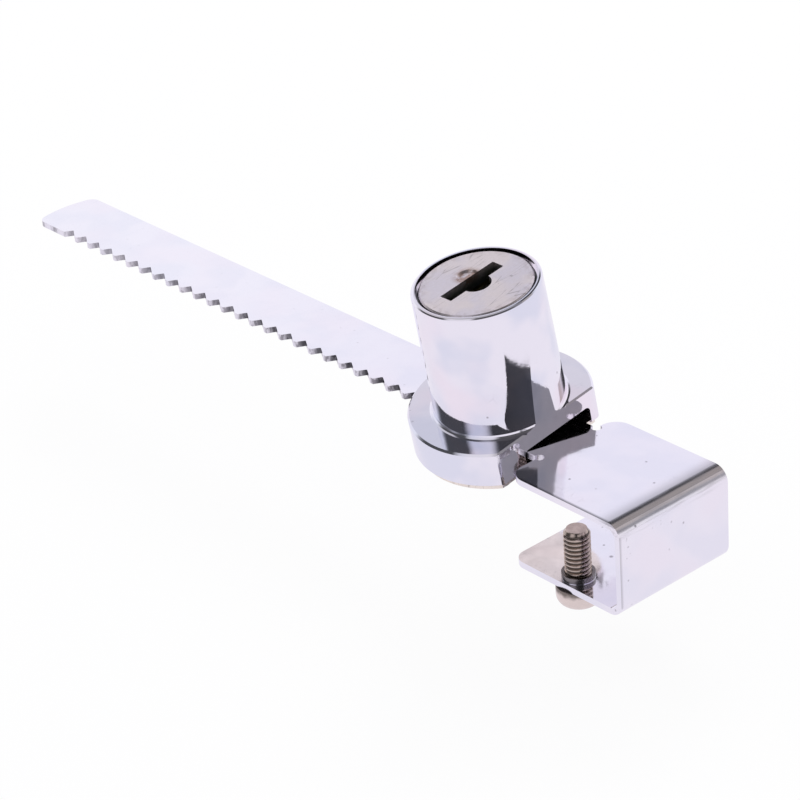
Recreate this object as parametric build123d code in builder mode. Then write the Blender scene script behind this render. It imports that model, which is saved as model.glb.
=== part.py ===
"""Ratchet lock for a sliding glass showcase door.

A saw-toothed steel bar ends in a folded clip that two screws clamp on the edge of one glass pane.
A die-cast lock body slides on the bar, and its pawl drops into the teeth.

Frame: X along the bar, towards the clip. Y across it, the toothed edge on the -Y side. Z up.
Origin: where the edge of the pane butts, at the middle of the inner face of the clip's wall.
Millimetres.
"""

import os
from math import cos, radians, sin

from build123d import *

os.makedirs("parts", exist_ok=True)

# ---------------------------------------------------------------- ratchet bar and glass clip
sheet = 1.0  # sheet thickness of the stamping
bar_width = 11.6
bar_reach = 145.3  # free end of the bar to the clip's wall
bar_offset = 1.15  # bar's middle line from the clip's middle line, away from the teeth
bar_end_bulge = 1.0  # how far the rounded free end stands out
bar_end_corner = 1.7
tooth_pitch = 3.635
tooth_depth = 1.35
tooth_flank = 0.8  # run of the steep flank, which stops the lock
tooth_land = 0.68  # flat between two notches
tooth_root = 0.18  # radius at the bottom of a notch
tooth_start = 9.1  # free end to the bottom of the first notch
tooth_stop = 4.5  # least plain stretch between the last notch and the clip

clip_width = 21.6
clip_reach = 21.0  # clip's wall to the end of its plates
clip_gap = 12.8  # between the two plates, for pane and clamp screws
clip_bend = 1.3  # inner radius of the folds
clip_corner = 2.8  # corners of the upper plate
lip_corner = 2.2  # corners of the lower plate
clip_relief = 0.8  # relief between bar and plate

# ---------------------------------------------------------------- clamp screws
screw_d = 3.9
screw_fit = 0.05  # radial play in the tapped collar
screw_spacing = 15.9
screw_setback = 10.4  # clip's wall to the screws
screw_reach = 7.9  # tip above the lower plate
screw_point = 0.35  # chamfer at the tip
screw_head_d = 6.7
screw_head_h = 3.2
screw_head_round = 0.7
screw_seat_gap = 0.05
cross_width = 1.1  # recess arms
cross_span = 3.8
cross_depth = 1.6
collar_wall = 0.45
collar_h = 0.9

# ---------------------------------------------------------------- lock body
rock = 9.2  # degrees that the body leans on the bar, within the play of its channel
slide_gap = 0.1  # running gap between bar and channel
lock_park = 2  # notches left free between the pawl's middle tooth and the clip
pawl_shift = -1.26  # middle tooth from the plug's axis

flange_r = 13.72
flange_h = 5.7
flange_edge = 0.3
foot_fillet = 0.55
barrel_foot_r = 9.82
barrel_rim_r = 9.5
lock_h = 26.1
rim_round = 0.45
round_steps = 3  # cones that stand in for the round of foot and rim
flat_x = 9.62  # flat side from the axis
flat_bevel = 0.25

channel_front = 4.95  # axis to the channel wall on the toothed side
channel_width = 13.3
channel_corner = 0.8

# ---------------------------------------------------------------- plug
plug_r = 8.35
plug_gap = 0.05
face_drop = 0.15  # plug face below the rim
face_gap = 0.5  # ring-shaped gap round the face
face_gap_depth = 0.9
face_chamfer = 0.2
keyway_l = 10.4
keyway_w = 2.2
keyway_shift = -0.85  # keyway's middle from the axis
keyway_bulge_r = 2.25
keyway_depth = 16.0
dimple_r = 1.7
dimple_x = -2.4
dimple_y = 0.6
dimple_depth = 0.3

floor_z = 5.25  # underside of the floor under the plug
floor_h = 2.0
tail_r = 3.0
ring_groove_r = 2.3
ring_r = 4.3
ring_h = 0.6
ring_gap = 0.05
ring_mouth = 3.6

wafer_count = 7
wafer_pitch = 1.95
wafer_h = 0.9
wafer_w = 7.6
wafer_shift = -0.4
wafer_gap = 0.06
wafer_top = 2.2  # face to the first wafer
wafer_in = 0.15  # ends of the wafers inside the plug's surface
wafer_throw = 0.6  # into the grooves of the bore
window_l = 8.8
window_gap = 0.3
window_steps = (0.3, -0.2, 0.5, 0.0, -0.4, 0.4, -0.1)
groove_depth = 0.65

# ---------------------------------------------------------------- pawl
pawl_throw = 1.4
pawl_bite = 0.15  # tooth tip to the bottom of the notch, locked
pawl_play = 0.12  # tooth flanks to the notch flanks, locked
pawl_back_gap = 0.2  # pawl face to the bar's edge, locked
pawl_side = 0.2  # metal beside the outer teeth
pawl_leg_t = 2.25
pawl_plate_h = 1.2
pawl_plate_reach = 4.0  # past the axis
pawl_gap = 0.08
pin_r = 1.0
pin_gap = 0.06
spring_room = 2.6
spring_r = 1.2
spring_wire = 0.35
spring_hole = 1.0
spring_spacing = 6.0
spring_turns = 4
spring_bends = 10  # straight lengths in one turn

# ---------------------------------------------------------------- keeper plate under the body
keeper_h = 0.8
keeper_in = 0.7  # keeper's edge inside the flange's
keeper_screw_r = 1.0
keeper_head_r = 1.8
keeper_screw_l = 3.2
keeper_shift = 1.2  # left screw, towards the pawl from the middle of its land
keeper_fit = 0.02

# ================================================================ places worked out from the sizes
bar_front = bar_offset - bar_width / 2
bar_back = bar_offset + bar_width / 2
bar_end = -bar_reach
clip_half = clip_width / 2
plate_z = clip_gap / 2  # underside of the bar and the upper plate
lip_top = plate_z - clip_gap
root_x = bar_end + tooth_start
tooth_count = 1 + int((bar_reach - clip_reach - tooth_start - tooth_stop) / tooth_pitch)

lean = radians(rock)
channel_h = bar_width * sin(lean) + sheet * cos(lean) + 2 * slide_gap
base_drop = slide_gap + bar_back * sin(lean) + sheet * cos(lean)
lock_x = root_x + (tooth_count - 1 - lock_park) * tooth_pitch - pawl_shift
lock_plane = Plane(
    origin=(lock_x, base_drop * sin(lean), plate_z + sheet - base_drop * cos(lean)),
    x_dir=(1, 0, 0),
    z_dir=(0, -sin(lean), cos(lean)),
)
lock_axis = Axis(lock_plane.origin, lock_plane.z_dir)
lock_side = Plane(lock_plane.origin, x_dir=lock_plane.x_dir, z_dir=-lock_plane.y_dir)
lock_end = Plane(lock_plane.origin, x_dir=lock_plane.y_dir, z_dir=lock_plane.x_dir)

# lower corner of the toothed edge, seen from the leaning body
edge_point = lock_plane.to_local_coords(Vector(lock_x, bar_front, plate_z))
edge_y = edge_point.Y
tooth_run = tooth_pitch - tooth_land - tooth_flank  # run of the gentle flank

face_z = lock_h - face_drop
bore_floor = floor_z + floor_h
tail_end = floor_z - ring_gap - ring_h - ring_gap
plate_top = tail_end - pawl_gap
plate_low = plate_top - pawl_plate_h

# pawl tooth: the notch, brought in by the play, and cut off at the pawl's face
steep = (tooth_flank**2 + tooth_depth**2) ** 0.5 / tooth_depth
gentle = (tooth_run**2 + tooth_depth**2) ** 0.5 / tooth_depth
left_run = tooth_flank / tooth_depth
right_run = tooth_run / tooth_depth
tip_depth = tooth_depth - pawl_play * (steep + gentle) / (left_run + right_run)
tip_x = -tooth_flank + pawl_play * steep + tip_depth * left_run
tip_depth = tip_depth * cos(lean) - (pawl_bite - pawl_play)
pawl_face = edge_y - pawl_back_gap - pawl_throw
pawl_tip = edge_y + tip_depth - pawl_throw
tooth_height = pawl_tip - pawl_face
pawl_rear = pawl_face - pawl_leg_t
teeth_x = [pawl_shift + k * tooth_pitch for k in (-1, 0, 1)]
tooth_left = tooth_height * left_run
tooth_right = tooth_height * right_run
pawl_x0 = teeth_x[0] + tip_x - tooth_left - pawl_side
pawl_x1 = teeth_x[-1] + tip_x + tooth_right + pawl_side
pawl_mid = (pawl_x0 + pawl_x1) / 2
pawl_w = pawl_x1 - pawl_x0
pin_arm = pawl_throw / 2 / sin(radians(45))
pin_x = pin_arm * cos(radians(45))
pin_y = -pawl_throw / 2
pocket_rear = pawl_rear - spring_room
spring_z = channel_h / 2
spring_x = [pawl_mid - spring_spacing / 2, pawl_mid + spring_spacing / 2]
spring_y0 = pocket_rear
spring_y1 = pawl_rear + spring_hole

keeper_r = flange_r - keeper_in
keeper_flat = flat_x - keeper_in
keeper_ring = (channel_width - channel_front + flange_r) / 2
keeper_points = [
    (0, keeper_ring),
    ((pawl_x0 - flange_r) / 2 + keeper_shift, pocket_rear * 0.66),
    ((pawl_x1 + flat_x) / 2, pocket_rear * 0.76),
]


# ================================================================ ratchet bar and clip
with BuildPart() as ratchet_bar:
    # folded section of the clip, drawn from the side
    with BuildSketch(Plane.XZ.offset(clip_half)) as clip_section:
        with BuildLine():
            Polyline(
                (-clip_reach, plate_z),
                (0, plate_z),
                (0, lip_top),
                (-clip_reach, lip_top),
                (-clip_reach, lip_top - sheet),
                (sheet, lip_top - sheet),
                (sheet, plate_z + sheet),
                (-clip_reach, plate_z + sheet),
                close=True,
            )
        make_face()
        folds_in = clip_section.vertices().filter_by(lambda v: abs(v.X) < 1e-6)
        fillet(folds_in, clip_bend)
        folds_out = clip_section.vertices().filter_by(lambda v: abs(v.X - sheet) < 1e-6)
        fillet(folds_out, clip_bend + sheet)
    extrude(amount=-clip_width)
    plate_ends = ratchet_bar.edges().filter_by(Axis.Z).filter_by(
        lambda e: abs(e.center().X + clip_reach) < 1e-6
    )
    fillet(plate_ends.filter_by(lambda e: e.center().Z > 0), clip_corner)
    fillet(plate_ends.filter_by(lambda e: e.center().Z < 0), lip_corner)

    # tapped collars in the lower plate
    with BuildSketch(Plane.XY.offset(lip_top)):
        with Locations((-screw_setback, screw_spacing / 2), (-screw_setback, -screw_spacing / 2)):
            Circle(screw_d / 2 + screw_fit + collar_wall)
    extrude(amount=collar_h)
    with BuildSketch(Plane.XY.offset(lip_top - sheet)):
        with Locations((-screw_setback, screw_spacing / 2), (-screw_setback, -screw_spacing / 2)):
            Circle(screw_d / 2 + screw_fit)
    extrude(amount=sheet + collar_h, mode=Mode.SUBTRACT)

    # flat bar with its rounded free end
    with BuildSketch(Plane.XY.offset(plate_z)) as bar_outline:
        with BuildLine():
            l1 = Line((-clip_reach, bar_front), (bar_end + bar_end_bulge, bar_front))
            l2 = ThreePointArc(
                l1 @ 1,
                (bar_end, bar_offset),
                (bar_end + bar_end_bulge, bar_back),
            )
            l3 = Line(l2 @ 1, (-clip_reach, bar_back))
            l4 = Line(l3 @ 1, (-clip_reach + clip_corner, bar_back))
            l5 = Line(l4 @ 1, (-clip_reach + clip_corner, bar_front))
            Line(l5 @ 1, l1 @ 0)
        make_face()
        free_corners = bar_outline.vertices().sort_by(Axis.X)[:2]
        fillet(free_corners, bar_end_corner)
    extrude(amount=sheet)

    # relief where the bar meets the plate
    with BuildSketch(Plane.XY.offset(plate_z)):
        with Locations((-clip_reach, bar_front), (-clip_reach, bar_back)):
            Circle(clip_relief)
    extrude(amount=sheet, mode=Mode.SUBTRACT)

    # saw teeth along the front edge
    with BuildSketch(Plane.XY.offset(plate_z)) as notches:
        with BuildSketch(Plane.XY, mode=Mode.PRIVATE) as notch:
            with BuildLine():
                Polyline(
                    (-tooth_flank, 0),
                    (0, tooth_depth),
                    (tooth_run, 0),
                    (tooth_run, -sheet),
                    (-tooth_flank, -sheet),
                    close=True,
                )
            make_face()
            fillet(notch.vertices().sort_by(Axis.Y)[-1], tooth_root)
        for k in range(tooth_count):
            with Locations((root_x + k * tooth_pitch, bar_front)):
                add(notch.sketch)
    extrude(amount=sheet, mode=Mode.SUBTRACT)

# ================================================================ clamp screws
screws = {}
for side, y in (("front", -screw_spacing / 2), ("back", screw_spacing / 2)):
    head_z = lip_top - sheet - screw_seat_gap
    with BuildPart() as clamp_screw:
        with BuildSketch(Plane.XY.offset(head_z)):
            with Locations((-screw_setback, y)):
                Circle(screw_head_d / 2)
        extrude(amount=-screw_head_h)
        chamfer(clamp_screw.edges().group_by(Axis.Z)[0], screw_head_round)
        with BuildSketch(Plane.XY.offset(head_z)):
            with Locations((-screw_setback, y)):
                Circle(screw_d / 2)
        extrude(amount=screw_seat_gap + sheet + screw_reach)
        chamfer(clamp_screw.edges().group_by(Axis.Z)[-1], screw_point)
        with BuildSketch(Plane.XY.offset(head_z - screw_head_h)):
            with Locations((-screw_setback, y)):
                Rectangle(cross_span, cross_width)
                Rectangle(cross_width, cross_span)
        extrude(amount=cross_depth, mode=Mode.SUBTRACT, taper=8)
    screws[side] = clamp_screw
clamp_screw_front = screws["front"]
clamp_screw_back = screws["back"]

# ================================================================ lock housing
with BuildPart() as barrel:
    # concave foot, slight taper and rounded rim, cut by the flat side where it grazes the foot
    with BuildSketch(lock_side):
        with BuildLine():
            foot_arc = CenterArc(
                (barrel_foot_r + foot_fillet, flange_h + foot_fillet),
                foot_fillet,
                180,
                90,
                mode=Mode.PRIVATE,
            )
            rim_arc = CenterArc(
                (barrel_rim_r - rim_round, lock_h - rim_round),
                rim_round,
                0,
                90,
                mode=Mode.PRIVATE,
            )
            foot = Polyline(*[foot_arc @ (k / round_steps) for k in range(round_steps, -1, -1)])
            rim = Polyline(*[rim_arc @ (k / round_steps) for k in range(round_steps + 1)])
            Line(foot @ 1, rim @ 0)
            Polyline(rim @ 1, (0, lock_h), (0, flat_bevel), (barrel_foot_r + foot_fillet, flat_bevel), foot @ 0)
        make_face()
    revolve(axis=lock_axis)
    with BuildSketch(lock_plane):
        with Locations((flat_x + flange_r / 2, 0)):
            Rectangle(flange_r, 2.2 * flange_r)
    extrude(amount=lock_h, mode=Mode.SUBTRACT)

with BuildPart() as lock_housing:
    # round flange with its flat side towards the clip
    with BuildSketch(lock_plane):
        Circle(flange_r)
        with Locations((flat_x + flange_r / 2, 0)):
            Rectangle(flange_r, 2.2 * flange_r, mode=Mode.SUBTRACT)
    extrude(amount=flange_h)
    flat_face = lock_housing.faces().filter_by(Axis.X).sort_by(Axis.X)[-1]
    chamfer(flat_face.edges(), flat_bevel)
    rings = lock_housing.edges().filter_by(
        lambda e: e.geom_type == GeomType.CIRCLE and abs(e.radius - flange_r) < 1e-4
    )
    chamfer(rings, flange_edge)
    add(barrel.part)

    # channel for the bar, open below
    with BuildSketch(lock_end) as channel:
        with Locations((-channel_front, -flange_h)):
            Rectangle(channel_width, flange_h + channel_h, align=(Align.MIN, Align.MIN))
        fillet(channel.vertices().group_by(Axis.Z)[-1], channel_corner)
    extrude(amount=flange_r, both=True, mode=Mode.SUBTRACT)
    # pocket for the pawl, from below
    with BuildSketch(lock_plane):
        with Locations((pawl_x0 - pawl_gap, pocket_rear)):
            Rectangle(
                pawl_w + 2 * pawl_gap,
                pawl_plate_reach + pawl_throw + pawl_gap - pocket_rear,
                align=(Align.MIN, Align.MIN),
            )
    extrude(amount=plate_top + pawl_gap, mode=Mode.SUBTRACT)
    # round pocket for the retaining ring
    with BuildSketch(lock_plane.offset(plate_low)):
        Circle(ring_r + pawl_gap)
    extrude(amount=floor_z - plate_low, mode=Mode.SUBTRACT)

    # bore for plug and tail, and the gap round the face
    with BuildSketch(lock_plane.offset(floor_z)):
        Circle(tail_r + plug_gap)
    extrude(amount=floor_h, mode=Mode.SUBTRACT)
    with BuildSketch(lock_plane.offset(bore_floor)):
        Circle(plug_r + plug_gap)
    extrude(amount=lock_h - bore_floor, mode=Mode.SUBTRACT)
    with BuildSketch(lock_plane.offset(lock_h - face_gap_depth)):
        Circle(plug_r + face_gap)
    extrude(amount=face_gap_depth, mode=Mode.SUBTRACT)
    # grooves that the wafers spring into
    groove_h = (wafer_count - 1) * wafer_pitch + wafer_h + 2 * wafer_gap
    groove_top = face_z - wafer_top + wafer_gap
    with BuildSketch(lock_plane.offset(groove_top - groove_h)):
        Circle(plug_r + plug_gap + groove_depth)
        with Locations((wafer_shift, 0)):
            Rectangle(wafer_w + 2 * wafer_gap, 2 * flange_r, mode=Mode.INTERSECT)
    extrude(amount=groove_h, mode=Mode.SUBTRACT)
    with BuildSketch(lock_plane.offset(groove_top - groove_h)):
        Circle(plug_r + plug_gap + groove_depth)
        with Locations((0, wafer_shift)):
            Rectangle(2 * flange_r, wafer_w + 2 * wafer_gap, mode=Mode.INTERSECT)
    extrude(amount=groove_h, mode=Mode.SUBTRACT)

    # holes for the keeper's screws
    with BuildSketch(lock_plane):
        with Locations(*keeper_points):
            Circle(keeper_screw_r + keeper_fit)
    extrude(amount=keeper_screw_l + keeper_fit, mode=Mode.SUBTRACT)

# ================================================================ keeper plate and its screws
with BuildPart() as keeper_plate:
    with BuildSketch(lock_plane):
        Circle(keeper_r)
        with Locations((keeper_flat + flange_r / 2, 0)):
            Rectangle(flange_r, 2.2 * flange_r, mode=Mode.SUBTRACT)
    extrude(amount=-keeper_h)
    for point in keeper_points:
        with BuildSketch(lock_plane):
            with Locations(point):
                Circle(keeper_screw_r + keeper_fit)
        with BuildSketch(lock_plane.offset(-keeper_h)):
            with Locations(point):
                Circle(keeper_head_r + keeper_fit)
        loft(mode=Mode.SUBTRACT)

with BuildPart() as keeper_screws:
    for point in keeper_points:
        with BuildSketch(lock_plane):
            with Locations(point):
                Circle(keeper_screw_r)
        extrude(amount=keeper_screw_l)
        with BuildSketch(lock_plane):
            with Locations(point):
                Circle(keeper_screw_r)
        with BuildSketch(lock_plane.offset(-keeper_h)):
            with Locations(point):
                Circle(keeper_head_r)
        loft()

# ================================================================ plug
with BuildPart() as plug:
    with BuildSketch(lock_plane.offset(bore_floor + plug_gap)):
        Circle(plug_r)
    extrude(amount=face_z - bore_floor - plug_gap)
    chamfer(plug.edges().filter_by(GeomType.CIRCLE).group_by(lock_axis)[-1], face_chamfer)
    with BuildSketch(lock_plane.offset(tail_end)):
        Circle(tail_r)
    extrude(amount=bore_floor + plug_gap - tail_end)
    # groove for the retaining ring
    with BuildSketch(lock_plane.offset(tail_end + ring_gap)):
        Circle(ring_r)
        Circle(ring_groove_r, mode=Mode.SUBTRACT)
    extrude(amount=ring_h + ring_gap, mode=Mode.SUBTRACT)
    # eccentric pin that moves the pawl
    with BuildSketch(lock_plane.offset(plate_low)):
        with Locations((pin_x, pin_y)):
            Circle(pin_r)
    extrude(amount=tail_end - plate_low)
    # keyway with its round middle, and the worn dimple beside it
    with BuildSketch(lock_plane.offset(face_z)) as keyway:
        with Locations((keyway_shift, 0)):
            Rectangle(keyway_w, keyway_l)
        Circle(keyway_bulge_r)
        with Locations((keyway_shift - keyway_w / 2, 0)):
            Rectangle(keyway_bulge_r, 2 * keyway_bulge_r, align=(Align.MAX, Align.CENTER), mode=Mode.SUBTRACT)
    extrude(amount=-keyway_depth, mode=Mode.SUBTRACT)
    with BuildSketch(lock_plane.offset(face_z)):
        with Locations((dimple_x, dimple_y)):
            Circle(dimple_r)
        with Locations((keyway_shift - keyway_w / 2, 0)):
            Rectangle(plug_r, 2 * plug_r, align=(Align.MAX, Align.CENTER), mode=Mode.INTERSECT)
    extrude(amount=-dimple_depth, taper=45, mode=Mode.SUBTRACT)
    # slots for the wafers
    for k in range(wafer_count):
        with BuildSketch(lock_plane.offset(face_z - wafer_top - k * wafer_pitch + wafer_gap)):
            with Locations((wafer_shift, 0)):
                Rectangle(wafer_w + 2 * wafer_gap, 2 * plug_r + 1)
        extrude(amount=-wafer_h - 2 * wafer_gap, mode=Mode.SUBTRACT)

# ================================================================ wafers
wafers = {}
for k in range(wafer_count):
    with BuildPart() as wafer:
        with BuildSketch(lock_plane.offset(face_z - wafer_top - k * wafer_pitch)):
            Circle(plug_r - wafer_in)
            with Locations((wafer_shift, 0)):
                Rectangle(wafer_w, 2 * plug_r, mode=Mode.INTERSECT)
            with Locations((keyway_shift, window_steps[k % len(window_steps)])):
                Rectangle(keyway_w + 2 * window_gap, window_l, mode=Mode.SUBTRACT)
            Circle(keyway_bulge_r + window_gap, mode=Mode.SUBTRACT)
        extrude(amount=-wafer_h)
    wafers[f"wafer_{k + 1}"] = wafer

# ================================================================ retaining ring on the plug's tail
with BuildPart() as retaining_ring:
    with BuildSketch(lock_plane.offset(tail_end + ring_gap)):
        Circle(ring_r)
        Circle(ring_groove_r + ring_gap, mode=Mode.SUBTRACT)
        with Locations((-ring_r, 0)):
            Rectangle(2 * ring_r, ring_mouth, mode=Mode.SUBTRACT)
    extrude(amount=ring_h)

# ================================================================ pawl
with BuildPart() as pawl:
    # plate over the bar, with the window that the eccentric pin works in
    with BuildSketch(lock_plane.offset(plate_low)):
        with Locations((pawl_mid, pawl_rear)):
            Rectangle(pawl_w, pawl_plate_reach - pawl_rear, align=(Align.CENTER, Align.MIN))
        with BuildLine():
            window_x0 = pin_x - pin_r - pin_gap
            window_x1 = pin_arm + pin_r + pin_gap
            window_y0 = pin_y - pin_r - pin_gap
            window_y1 = pin_y + pin_r + pawl_throw + pin_gap
            Polyline(
                (window_x0, window_y0),
                (window_x1, window_y0),
                (window_x1, window_y1),
                (window_x0, window_y1),
                close=True,
            )
        make_face(mode=Mode.SUBTRACT)
    extrude(amount=pawl_plate_h)
    # leg beside the bar
    with BuildSketch(lock_plane.offset(pawl_gap)):
        with Locations((pawl_mid, pawl_rear)):
            Rectangle(pawl_w, pawl_leg_t, align=(Align.CENTER, Align.MIN))
    extrude(amount=plate_low - pawl_gap)
    # teeth
    with BuildSketch(lock_plane.offset(pawl_gap)) as pawl_teeth:
        for x in teeth_x:
            with BuildLine():
                Polyline(
                    (x + tip_x - tooth_left, pawl_face),
                    (x + tip_x, pawl_tip),
                    (x + tip_x + tooth_right, pawl_face),
                    close=True,
                )
            make_face()
    extrude(amount=plate_low - pawl_gap)
    # seats of the two springs
    with BuildSketch(Plane(lock_plane.from_local_coords(Vector(0, pawl_rear, 0)), x_dir=(1, 0, 0), z_dir=-lock_plane.y_dir)):
        with Locations(*[(x, spring_z) for x in spring_x]):
            Circle(spring_r + pawl_gap)
    extrude(amount=-spring_hole, mode=Mode.SUBTRACT)

# ================================================================ pawl springs
springs = {}
for side, x in (("left", spring_x[0]), ("right", spring_x[1])):
    spring_l = spring_y1 - spring_y0 - spring_wire - 2 * keeper_fit
    spring_base = lock_plane.from_local_coords(Vector(x, spring_y0 + spring_wire / 2 + keeper_fit, spring_z))
    spring_plane = Plane(spring_base, x_dir=(1, 0, 0), z_dir=lock_plane.y_dir)
    coil_r = spring_r - spring_wire / 2
    with BuildPart() as pawl_spring:
        with BuildLine():
            coil = Helix(
                pitch=spring_l / spring_turns,
                height=spring_l,
                radius=coil_r,
                center=spring_plane.origin,
                direction=spring_plane.z_dir,
                mode=Mode.PRIVATE,
            )
            bends = spring_turns * spring_bends
            wire = Polyline(*[coil @ (k / bends) for k in range(bends + 1)])
        with BuildSketch(Plane(wire @ 0, z_dir=wire % 0)):
            RegularPolygon(spring_wire / 2, 6)
        sweep(transition=Transition.RIGHT)
    springs[side] = pawl_spring

# ================================================================ files
finished = {
    "ratchet_bar": ratchet_bar,
    "clamp_screw_front": clamp_screw_front,
    "clamp_screw_back": clamp_screw_back,
    "lock_housing": lock_housing,
    "plug": plug,
    "retaining_ring": retaining_ring,
    "pawl": pawl,
    "pawl_spring_left": springs["left"],
    "pawl_spring_right": springs["right"],
    "keeper_plate": keeper_plate,
    "keeper_screws": keeper_screws,
    **wafers,
}
for name, piece in finished.items():
    piece.part.label = name
    export_step(piece.part, f"parts/{name}.step")
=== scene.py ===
"""Looks of a ratchet lock for a sliding glass showcase: chrome, nickel and brass finishes, threaded
clamp screws, and a plain white studio.

Everything is in metres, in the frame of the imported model: X along the bar towards the clip, Z up.
"""

from math import cos, pi, radians, sin

import bpy
from bpy.props import FloatProperty, FloatVectorProperty, IntProperty, PointerProperty
from mathutils import Matrix, Vector


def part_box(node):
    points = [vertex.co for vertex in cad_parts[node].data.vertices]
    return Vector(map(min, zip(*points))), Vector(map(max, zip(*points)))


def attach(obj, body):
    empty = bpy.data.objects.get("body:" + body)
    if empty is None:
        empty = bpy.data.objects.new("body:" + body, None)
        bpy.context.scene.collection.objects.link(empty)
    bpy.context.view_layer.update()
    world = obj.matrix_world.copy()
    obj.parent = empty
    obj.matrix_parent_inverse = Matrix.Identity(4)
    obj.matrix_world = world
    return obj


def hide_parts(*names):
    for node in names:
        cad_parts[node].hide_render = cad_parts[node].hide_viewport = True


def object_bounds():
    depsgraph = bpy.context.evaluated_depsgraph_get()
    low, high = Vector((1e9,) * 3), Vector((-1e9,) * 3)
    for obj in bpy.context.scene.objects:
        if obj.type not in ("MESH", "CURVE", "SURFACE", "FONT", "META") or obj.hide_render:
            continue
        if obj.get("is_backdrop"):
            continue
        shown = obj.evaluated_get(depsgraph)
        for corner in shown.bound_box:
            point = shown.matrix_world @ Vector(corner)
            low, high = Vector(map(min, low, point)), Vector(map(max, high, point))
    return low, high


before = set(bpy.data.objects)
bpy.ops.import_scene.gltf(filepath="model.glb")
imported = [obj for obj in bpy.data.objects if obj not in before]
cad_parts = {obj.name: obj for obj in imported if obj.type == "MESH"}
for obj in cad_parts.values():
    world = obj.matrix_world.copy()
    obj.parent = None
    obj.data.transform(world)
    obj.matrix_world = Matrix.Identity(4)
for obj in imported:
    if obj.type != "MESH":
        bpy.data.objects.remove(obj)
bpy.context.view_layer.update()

bl_info = {
    "name": "Showcase Ratchet Lock",
    "version": (1, 0, 0),
    "blender": (4, 5, 0),
    "location": "View3D > Sidebar > Ratchet Lock",
    "description": "Finishes a chromed ratchet lock for sliding glass and sets it in a white studio",
    "category": "Object",
}


# ---------------------------------------------------------------- places of the solids
SHEET = 0.001  # thickness of the stamping
TOOTH_START = 0.0091  # free end to the bottom of the first notch
TOOTH_PITCH = 0.003635
CLIP_REACH = 0.0215  # wall's outside to just short of the ends of the clip's plates
FOLD_BACK = 0.002  # wall's outside to where the upper fold is fully brushed
FOLD_DROP = 0.0026  # top of the bar to where the brushing ends on the wall
COLLAR_R = 0.00255  # just outside the tapped collars
COLLAR_SPAN = (0.00005, 0.0012)  # heights over the lower plate that take in a collar and not the plate
BODY_LEAN = radians(9.2)
FACE_R = 0.00785  # face of the plug
BORE_R = 0.0087  # just outside the bore
DIMPLE = (-0.0024, 0.0006)  # from the middle of the plug's face, along X and up the face
SKIN = 0.00002  # keeps the sheared finish and the painted notch shade clear of the faces beside it
BAR_ROUGHER = 1.6  # roughness of the bar's chrome against the body's
GAP_DARK = (0.02, 0.02, 0.02)  # narrow gaps that no light gets into


# ---------------------------------------------------------------- sizes and colours
class ScrewSizes(bpy.types.PropertyGroup):
    """Clamp screws that come up through the lower plate of the clip"""

    shank: FloatProperty(
        name="Shank", description="Diameter over the thread", default=0.0039, unit="LENGTH", precision=5
    )
    pitch: FloatProperty(
        name="Pitch", description="Rise of one turn of thread", default=0.0007, unit="LENGTH", precision=5
    )
    depth: FloatProperty(
        name="Depth", description="Depth of the thread", default=0.00027, unit="LENGTH", precision=5
    )
    point: FloatProperty(
        name="Point", description="Length of the turned point", default=0.0004, unit="LENGTH", precision=5
    )
    head_height: FloatProperty(
        name="Head height", description="Height of the head", default=0.0032, unit="LENGTH", precision=5
    )
    recess_depth: FloatProperty(
        name="Recess depth", description="Depth of the cross recess",
        default=0.0016, unit="LENGTH", precision=5,
    )
    head_round: FloatProperty(
        name="Head round", description="Rounding of the head's rim",
        default=0.0016, unit="LENGTH", precision=5,
    )
    cross_span: FloatProperty(
        name="Cross span", description="Length of the arms of the recess",
        default=0.0038, unit="LENGTH", precision=5,
    )
    cross_width: FloatProperty(
        name="Cross width", description="Width of the arms of the recess",
        default=0.0011, unit="LENGTH", precision=5,
    )
    segments: IntProperty(name="Segments", description="Sides of one turn", default=48, min=12)


class Finishes(bpy.types.PropertyGroup):
    """Colours and gloss of the metals"""

    chrome: FloatVectorProperty(
        name="Chrome", description="Bright plating", subtype="COLOR", size=3, default=(0.90, 0.88, 0.935)
    )
    chrome_gloss: FloatProperty(
        name="Chrome roughness", description="Roughness of the bright plating", default=0.045, min=0, max=1
    )
    nickel: FloatVectorProperty(
        name="Nickel", description="Satin nickel of the plug", subtype="COLOR", size=3,
        default=(0.87, 0.80, 0.79),
    )
    screw: FloatVectorProperty(
        name="Screw", description="Warm nickel of the clamp screws", subtype="COLOR", size=3,
        default=(0.63, 0.525, 0.455),
    )
    zinc: FloatVectorProperty(
        name="Zinc", description="Zinc plating of the keeper plate and its screws", subtype="COLOR", size=3,
        default=(0.97, 0.89, 0.80),
    )
    brass: FloatVectorProperty(
        name="Brass", description="Stamped wafers", subtype="COLOR", size=3, default=(0.34, 0.29, 0.14)
    )
    steel: FloatVectorProperty(
        name="Steel", description="Pawl, ring and springs", subtype="COLOR", size=3,
        default=(0.42, 0.42, 0.43),
    )


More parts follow.
